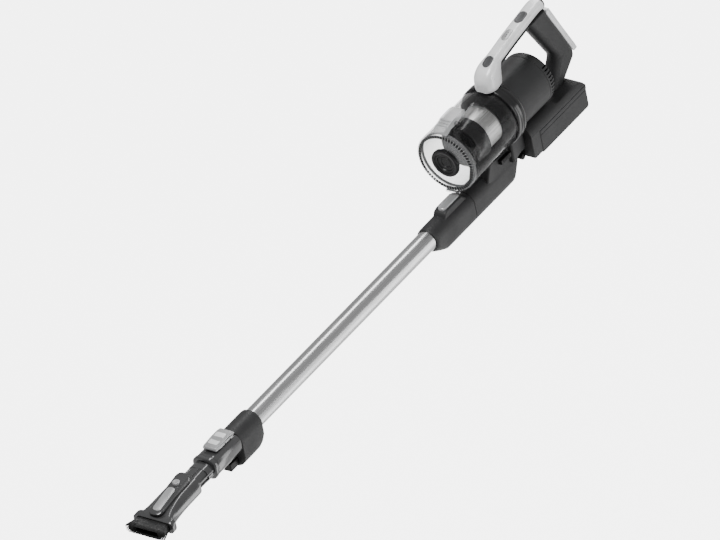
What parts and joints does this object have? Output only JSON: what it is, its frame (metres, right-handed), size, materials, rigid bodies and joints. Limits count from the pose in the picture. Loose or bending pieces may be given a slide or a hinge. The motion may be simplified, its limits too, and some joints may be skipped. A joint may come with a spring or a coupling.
{
  "type": "cordless stick vacuum",
  "caption": "Cordless stick vacuum: hand unit with a loop handle, clear cyclone dust cup, slide-off battery, metal wand and a dusting brush tool.",
  "frame": {"origin": "middle of the grip, where the hand holds it", "axes": "+Y along the wand from the brush to the handle, +Z towards the handle's side, +X across the machine"},
  "size_m": [0.1088, 1.2205, 0.2577],
  "materials": {
    "aluminium": "satin anodised",
    "black_plastic": "satin",
    "board": "solder mask",
    "brass": "plated",
    "bristle": "nylon bristle",
    "cell_wrap": "shrink wrap",
    "clear_plastic": "clear gloss",
    "copper": "enamelled winding",
    "dark_gloss": "gloss",
    "dark_plastic": "fine matt grain",
    "filter_paper": "pleated paper",
    "foam": "open foam",
    "mesh_steel": "perforated",
    "pearl_plastic": "pale satin",
    "rubber": "matt",
    "smoked_plastic": "smoked gloss",
    "steel": "turned"
  },
  "bodies": {
    "hand_unit": {"main_body": "dark_plastic", "dock_boss": "black_plastic", "battery_dock": "dark_plastic", "battery_contacts": "brass", "housing_collar": "dark_gloss", "premotor_filter": "foam", "motor_housing": "dark_plastic", "rear_cover": "dark_plastic", "exhaust_filter": "filter_paper", "motor_can": "steel", "stator": "copper", "front_bearing": "steel", "rear_bearing": "steel", "motor_mount": "rubber", "handle_bar": "pearl_plastic", "handle_liner": "dark_plastic", "handle_end_cap": "black_plastic", "display_lens": "black_plastic", "control_board": "board", "grip": "dark_plastic", "grip_back_strip": "pearl_plastic"},
    "rotor": {"motor_rotor": "steel", "impeller": "aluminium"},
    "cup": {"dust_cup": "clear_plastic", "cyclone_shroud": "dark_gloss", "mesh_filter": "mesh_steel", "cyclone_cone": "dark_plastic", "cyclone_base": "dark_gloss", "lid_latch_pin": "steel"},
    "lid": {"cup_lid": "clear_plastic", "lid_seal": "rubber", "lid_hub": "black_plastic", "lid_hinge_pin": "steel"},
    "latch": {"lid_latch": "clear_plastic"},
    "cup_release": {"cup_release_button": "black_plastic"},
    "power": {"power_button": "dark_gloss"},
    "mode": {"mode_button": "dark_gloss"},
    "battery": {"battery_case": "dark_plastic", "battery_top": "dark_plastic", "cell_1": "cell_wrap", "cell_2": "cell_wrap", "cell_3": "cell_wrap", "cell_4": "cell_wrap", "cell_5": "cell_wrap", "cell_6": "cell_wrap", "battery_board": "board"},
    "battery_button": {"battery_release": "black_plastic"},
    "wand": {"wand_coupling": "dark_plastic", "wand_tube": "aluminium", "wand_lower_collar": "dark_plastic", "contact_plug": "black_plastic", "wand_release_pin": "steel"},
    "wand_button": {"wand_release_button": "pearl_plastic"},
    "tool": {"tool_neck": "smoked_plastic", "crevice_nozzle": "smoked_plastic", "tool_rocker_pin": "steel"},
    "tool_rocker": {"tool_release_rocker": "pearl_plastic"},
    "brush": {"brush_sleeve": "smoked_plastic", "bristles": "bristle"},
    "brush_lock": {"brush_lock_button": "pearl_plastic"}
  },
  "joints": [
    {"name": "motor_spin", "type": "hinge", "parent": "hand_unit", "child": "rotor", "pos_m": [0, -0.113, -0.038], "axis": [0, 1, 0], "continuous": true},
    {"name": "dust_cup_slide", "type": "slide", "parent": "hand_unit", "child": "cup", "axis": [0, -1, 0], "range_m": [0, 0.15]},
    {"name": "cup_lid_hinge", "type": "hinge", "parent": "cup", "child": "lid", "pos_m": [0, -0.293, -0.0958], "axis": [1, 0, 0], "range_deg": [0, 80]},
    {"name": "lid_latch_pivot", "type": "hinge", "parent": "cup", "child": "latch", "pos_m": [0, -0.271, 0.023], "axis": [-1, 0, 0], "range_deg": [0, 8], "stiffness_Nm_per_rad": 0.2, "springref_deg": -20.05},
    {"name": "cup_release_slide", "type": "slide", "parent": "hand_unit", "child": "cup_release", "axis": [-1, 0, 0], "range_m": [0, 0.0025], "stiffness_N_per_m": 200, "springref_m": -0.002},
    {"name": "power_button_press", "type": "slide", "parent": "hand_unit", "child": "power", "axis": [0, 0.1302, -0.9915], "range_m": [0, 0.002], "stiffness_N_per_m": 300, "springref_m": -0.002},
    {"name": "mode_button_press", "type": "slide", "parent": "hand_unit", "child": "mode", "axis": [0, 0.2924, -0.9563], "range_m": [0, 0.0015], "stiffness_N_per_m": 300, "springref_m": -0.002},
    {"name": "battery_slide", "type": "slide", "parent": "hand_unit", "child": "battery", "axis": [0, 1, 0], "range_m": [0, 0.14]},
    {"name": "battery_button_press", "type": "slide", "parent": "battery", "child": "battery_button", "axis": [0, -1, 0], "range_m": [0, 0.002], "stiffness_N_per_m": 300, "springref_m": -0.002},
    {"name": "wand_slide", "type": "slide", "parent": "hand_unit", "child": "wand", "axis": [0, -1, 0], "range_m": [0, 0.07]},
    {"name": "wand_button_rock", "type": "hinge", "parent": "wand", "child": "wand_button", "pos_m": [0, -0.305, -0.11], "axis": [1, 0, 0], "range_deg": [0, 3], "stiffness_Nm_per_rad": 0.4, "springref_deg": -11.46},
    {"name": "tool_slide", "type": "slide", "parent": "wand", "child": "tool", "axis": [0, -1, 0], "range_m": [0, 0.045]},
    {"name": "tool_rocker_pivot", "type": "hinge", "parent": "tool", "child": "tool_rocker", "pos_m": [0, -0.955, -0.1124], "axis": [1, 0, 0], "range_deg": [0, 3], "stiffness_Nm_per_rad": 0.4, "springref_deg": -11.46},
    {"name": "brush_slide", "type": "slide", "parent": "tool", "child": "brush", "axis": [0, 1, 0], "range_m": [0, 0.04]},
    {"name": "brush_lock_press", "type": "slide", "parent": "brush", "child": "brush_lock", "axis": [0, 0, -1], "range_m": [0, 0.0015], "stiffness_N_per_m": 300, "springref_m": -0.002}
  ]
}
